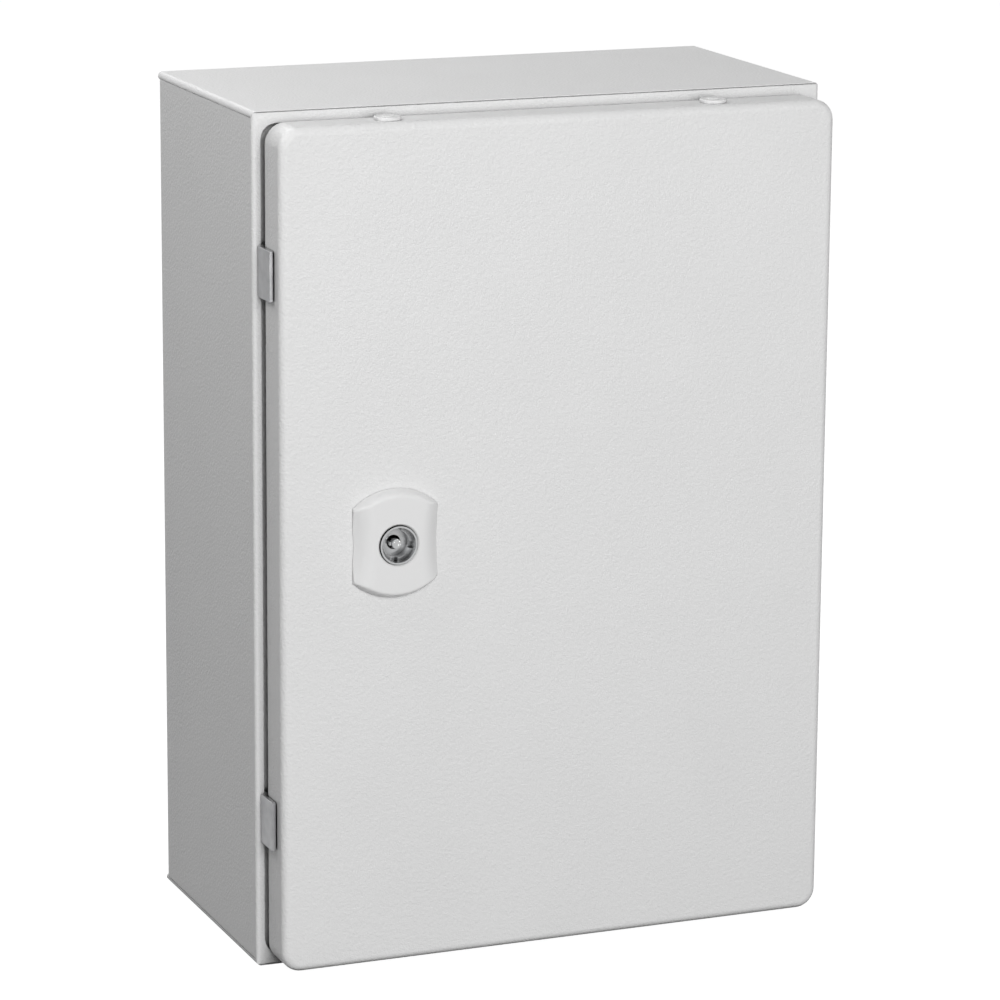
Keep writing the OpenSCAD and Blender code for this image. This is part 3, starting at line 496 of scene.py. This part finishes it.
thread = dict(
    plate_studs=dict(d=8, pitch=1.25, foot=1.0, grow="-y"), gland_studs=dict(d=5, pitch=0.8, foot=0.8, grow="z"),
    body_earth_stud=dict(d=8, pitch=1.25, foot=1.0, grow="-x"),
    door_earth_stud=dict(d=8, pitch=1.25, foot=1.0, grow="y"),
    lock_housing=dict(d=20, pitch=1.5, foot=8.0, grow="y"))
for node, make in thread.items():
    box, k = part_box(node), "xyz".index(make["grow"][-1])
    back = make["grow"].startswith("-")
    axis = [0.0, 0.0, 0.0]
    axis[k] = -1.0 if back else 1.0
    start = box[1][k] - make["foot"] * mm if back else box[0][k] + make["foot"] * mm
    length = (box[1][k] - box[0][k]) / mm - make["foot"] - make["pitch"]
    pads = {k: [start]}
    for other in {0, 1, 2} - {k}:
        wide = (box[1][other] - box[0][other]) / mm
        pad = crestForm["padShare"] * make["d"] * mm if node != "lock_housing" else (box[1][other] - box[0][other]) / 2
        pads[other] = [box[0][other] + pad] if wide < 2 * make["d"] else [box[0][other] + pad, box[1][other] - pad]
    feet = [(x, y, z) for x in pads[0] for y in pads[1] for z in pads[2]]
    root = make["d"] / 2 - crestForm["rootShare"] * make["pitch"]
    ridge = threadRidge(node + "Thread", feet, axis, root, length, make["pitch"])
    finishPiece(ridge, "zinc_plate", bodyOf[node], finish["chrome_plate" if node == "lock_housing" else "zinc_plate"])
print("seal, ribs and threads made")



def whiteForCamera(tree, light, white, mirrored):
    # light for the object, white for what the camera sees straight or through glass, mirrored for what shows in gloss
    path = addNode(tree, "ShaderNodeLightPath")
    clear = addNode(tree, "ShaderNodeMath",
                    {0: path.outputs["Is Camera Ray"], 1: path.outputs["Is Transmission Ray"]}, operation="MAXIMUM")
    gloss = addNode(tree, "ShaderNodeMix", {"Factor": path.outputs["Is Glossy Ray"], "A": light, "B": mirrored},
                    data_type="FLOAT")
    seen = addNode(tree, "ShaderNodeMix", {"Factor": clear.outputs[0], "A": gloss.outputs["Result"], "B": white},
                   data_type="FLOAT")
    return seen.outputs["Result"]


studio = dict(
    skyLight=0.16, backdropTop=0.2, ceilingFrom=0.45, ceiling=0.3,
    floorSize=30.0, floorColour="#6E6E6E", floorLift=0.97, floorGloss=0.45,
    lamps=dict(
        key=dict(power=60, size=1.4, place=(-0.3, -2.6, 1.1), aim=(0, 0, 0.3), mirrored=False),
        side=dict(power=2.6, size=0.4, place=(-0.75, -0.1, 1.0), aim=(-0.17, 0, 0.35), mirrored=True),
        back=dict(power=24, size=1.5, place=(-0.4, 1.5, 2.0), aim=(0, 0, 0.5), mirrored=True),
        glint=dict(power=2.4, size=0.12, place=(0.35, -2.0, 0.38), aim=(-0.12, 0, 0.42), mirrored=True)))

world = bpy.data.worlds.new("studio")
bpy.context.scene.world = world
world.use_nodes = True
sky = world.node_tree.nodes["Background"]
sky.inputs["Color"].default_value = (1, 1, 1, 1)
around = addNode(world.node_tree, "ShaderNodeTexCoord").outputs["Generated"]
rise = addNode(world.node_tree, "ShaderNodeSeparateXYZ", {"Vector": around})
wall = addNode(world.node_tree, "ShaderNodeMapRange", {"Value": rise.outputs["Z"],
                "From Min": studio["backdropTop"], "From Max": studio["ceilingFrom"],
                 "To Min": 1.0, "To Max": studio["ceiling"]})
skyWhite = whiteForCamera(world.node_tree, studio["skyLight"], 1.0, wall.outputs["Result"])
world.node_tree.links.new(skyWhite, sky.inputs["Strength"])

half = studio["floorSize"] / 2
floorMesh = bpy.data.meshes.new("floor")
floorZ = cadBox[0][2]
floorCorners = [(x * half, y * half, floorZ) for x, y in ((-1, -1), (1, -1), (1, 1), (-1, 1))]
floorMesh.from_pydata(floorCorners, [], [(0, 1, 2, 3)])
floor = newPiece("floor", floorMesh)
floorPaint, floorTree, floorShader = startMaterial("paleFloor", studio["floorColour"], 0.9)[:3]
floorShader.inputs["Emission Color"].default_value = (1, 1, 1, 1)
floorWhite = whiteForCamera(floorTree, 0.0, studio["floorLift"], studio["floorGloss"])
floorTree.links.new(floorWhite, floorShader.inputs["Emission Strength"])
floorMesh.materials.append(floorPaint)

for name, lamp in studio["lamps"].items():
    data = bpy.data.lights.new(name, "AREA")
    data.energy = lamp["power"]
    data.size = lamp["size"]
    light = bpy.data.objects.new(name, data)
    light.location = lamp["place"]
    light.rotation_euler = (Vector(lamp["aim"]) - Vector(lamp["place"])).to_track_quat("-Z", "Y").to_euler()
    light.visible_camera = False
    light.visible_glossy = lamp["mirrored"]
    bpy.context.collection.objects.link(light)

eye = dict(place=(-0.9683, -2.3727, 0.8622), yaw=22.26, pitch=-13.46, roll=0.41, lens=159.14)
cameraData = bpy.data.cameras.new("camera")
cameraData.lens = eye["lens"]
cameraData.sensor_width = 36
camera = bpy.data.objects.new("camera", cameraData)
camera.matrix_world = (Matrix.Translation(eye["place"]) @ Matrix.Rotation(math.radians(-eye["yaw"]), 4, "Z")
                       @ Matrix.Rotation(math.radians(90 + eye["pitch"]), 4, "X")
                       @ Matrix.Rotation(math.radians(eye["roll"]), 4, "Z"))
bpy.context.collection.objects.link(camera)
bpy.context.scene.camera = camera
bpy.context.scene.view_settings.view_transform = "Standard"
print("floor, lamps and camera placed")
